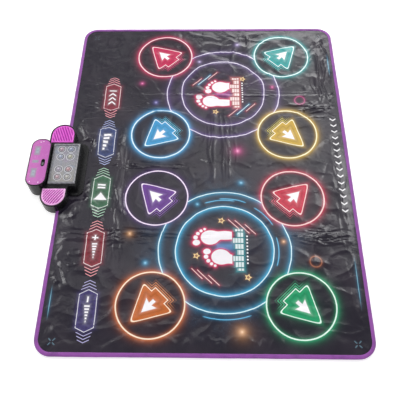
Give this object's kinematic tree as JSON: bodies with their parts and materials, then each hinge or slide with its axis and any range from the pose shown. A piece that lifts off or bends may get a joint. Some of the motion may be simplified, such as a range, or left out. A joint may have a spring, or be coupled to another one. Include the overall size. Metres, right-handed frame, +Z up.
{
  "type": "dance mat",
  "caption": "Folding floor mat with round step pads, a column of control keys and a clamped control unit with speakers and a lamp window.",
  "frame": {"origin": "on the floor, under the middle of the whole object's box: the mat lies 46.5 mm towards +X of a mat-centred frame, because the control unit's pod stands out past the mat's left edge", "axes": "+Z up; +Y along the mat's long side, away from a viewer who has the control unit on the left; +X across the mat, away from the control unit"},
  "size_m": [0.993, 1.2, 0.0582],
  "materials": {
    "printed_vinyl": "gloss",
    "anti_slip_backing": "matte",
    "foam": "matte",
    "spacer_foam": "matte",
    "circuit_film": "satin",
    "edge_binding": "matte",
    "carbon_contact": "matte",
    "black_moulding": "satin",
    "pink_moulding": "gloss",
    "pink_grille": "satin",
    "clear_window": "gloss",
    "lamp_lens": "satin",
    "circuit_board": "satin",
    "steel": "satin",
    "speaker_cone": "matte",
    "cell_jacket": "satin",
    "grey_knob": "satin"
  },
  "bodies": {
    "mat_left": {"bottom_sheet_left": "anti_slip_backing", "foam_core_left": "foam", "lower_film_left": "circuit_film", "spacer_left": "spacer_foam", "upper_film_left": "circuit_film", "top_sheet_left": "printed_vinyl", "edge_binding_left": "edge_binding", "unit_base": "black_moulding", "unit_housing": "black_moulding", "pod_housing": "black_moulding", "pod_plate": "pink_moulding", "display_window": "clear_window", "light_guide": "lamp_lens", "main_board": "circuit_board", "grille_far": "pink_grille", "grille_near": "pink_grille", "speaker_far": "speaker_cone", "speaker_near": "speaker_cone", "power_switch_body": "black_moulding", "battery_1": "cell_jacket", "battery_2": "cell_jacket", "battery_3": "cell_jacket", "battery_springs": "steel", "battery_tabs": "steel", "clamp_plate": "steel", "ribbon_tail": "circuit_film", "clamp_screw_1": "steel", "clamp_screw_2": "steel", "clamp_screw_3": "steel"},
    "mat_right": {"bottom_sheet_right": "anti_slip_backing", "foam_core_right": "foam", "lower_film_right": "circuit_film", "spacer_right": "spacer_foam", "upper_film_right": "circuit_film", "top_sheet_right": "printed_vinyl", "edge_binding_right": "edge_binding"},
    "pad_1": {"pad_1_cover": "printed_vinyl", "pad_1_contact": "carbon_contact"},
    "pad_2": {"pad_2_cover": "printed_vinyl", "pad_2_contact": "carbon_contact"},
    "pad_3": {"pad_3_cover": "printed_vinyl", "pad_3_contact": "carbon_contact"},
    "pad_4": {"pad_4_cover": "printed_vinyl", "pad_4_contact": "carbon_contact"},
    "pad_5": {"pad_5_cover": "printed_vinyl", "pad_5_contact": "carbon_contact"},
    "pad_6": {"pad_6_cover": "printed_vinyl", "pad_6_contact": "carbon_contact"},
    "pad_7": {"pad_7_cover": "printed_vinyl", "pad_7_contact": "carbon_contact"},
    "pad_8": {"pad_8_cover": "printed_vinyl", "pad_8_contact": "carbon_contact"},
    "key_speed": {"key_speed": "printed_vinyl"},
    "key_level": {"key_level": "printed_vinyl"},
    "key_start": {"key_start": "printed_vinyl"},
    "key_volume_up": {"key_volume_up": "printed_vinyl"},
    "key_volume_down": {"key_volume_down": "printed_vinyl"},
    "power_slider": {"power_slider": "grey_knob"},
    "battery_door": {"battery_door": "black_moulding"}
  },
  "joints": [
    {"name": "mat_fold", "type": "hinge", "parent": "mat_left", "child": "mat_right", "pos_m": [0.0465, 0, 0.0113], "axis": [0, -1, 0], "range_deg": [0, 174.5]},
    {"name": "pad_1_press", "type": "slide", "parent": "mat_left", "child": "pad_1", "axis": [0, 0, -1], "range_m": [0, 0.0016], "stiffness_N_per_m": 6000, "springref_m": -0.0002},
    {"name": "pad_2_press", "type": "slide", "parent": "mat_left", "child": "pad_2", "axis": [0, 0, -1], "range_m": [0, 0.0016], "stiffness_N_per_m": 6000, "springref_m": -0.0002},
    {"name": "pad_3_press", "type": "slide", "parent": "mat_left", "child": "pad_3", "axis": [0, 0, -1], "range_m": [0, 0.0016], "stiffness_N_per_m": 6000, "springref_m": -0.0002},
    {"name": "pad_4_press", "type": "slide", "parent": "mat_left", "child": "pad_4", "axis": [0, 0, -1], "range_m": [0, 0.0016], "stiffness_N_per_m": 6000, "springref_m": -0.0002},
    {"name": "pad_5_press", "type": "slide", "parent": "mat_right", "child": "pad_5", "axis": [0, 0, -1], "range_m": [0, 0.0016], "stiffness_N_per_m": 6000, "springref_m": -0.0002},
    {"name": "pad_6_press", "type": "slide", "parent": "mat_right", "child": "pad_6", "axis": [0, 0, -1], "range_m": [0, 0.0016], "stiffness_N_per_m": 6000, "springref_m": -0.0002},
    {"name": "pad_7_press", "type": "slide", "parent": "mat_right", "child": "pad_7", "axis": [0, 0, -1], "range_m": [0, 0.0016], "stiffness_N_per_m": 6000, "springref_m": -0.0002},
    {"name": "pad_8_press", "type": "slide", "parent": "mat_right", "child": "pad_8", "axis": [0, 0, -1], "range_m": [0, 0.0016], "stiffness_N_per_m": 6000, "springref_m": -0.0002},
    {"name": "key_speed_press", "type": "slide", "parent": "mat_left", "child": "key_speed", "axis": [0, 0, -1], "range_m": [0, 0.0016], "stiffness_N_per_m": 3000, "springref_m": -0.0002},
    {"name": "key_level_press", "type": "slide", "parent": "mat_left", "child": "key_level", "axis": [0, 0, -1], "range_m": [0, 0.0016], "stiffness_N_per_m": 3000, "springref_m": -0.0002},
    {"name": "key_start_press", "type": "slide", "parent": "mat_left", "child": "key_start", "axis": [0, 0, -1], "range_m": [0, 0.0016], "stiffness_N_per_m": 3000, "springref_m": -0.0002},
    {"name": "key_volume_up_press", "type": "slide", "parent": "mat_left", "child": "key_volume_up", "axis": [0, 0, -1], "range_m": [0, 0.0016], "stiffness_N_per_m": 3000, "springref_m": -0.0002},
    {"name": "key_volume_down_press", "type": "slide", "parent": "mat_left", "child": "key_volume_down", "axis": [0, 0, -1], "range_m": [0, 0.0016], "stiffness_N_per_m": 3000, "springref_m": -0.0002},
    {"name": "power_slide", "type": "slide", "parent": "mat_left", "child": "power_slider", "axis": [0, 1, 0], "range_m": [0, 0.008]},
    {"name": "battery_door_hinge", "type": "hinge", "parent": "mat_left", "child": "battery_door", "pos_m": [-0.4955, -0.0245, 0.0065], "axis": [0, -1, 0], "range_deg": [0, 88]}
  ]
}
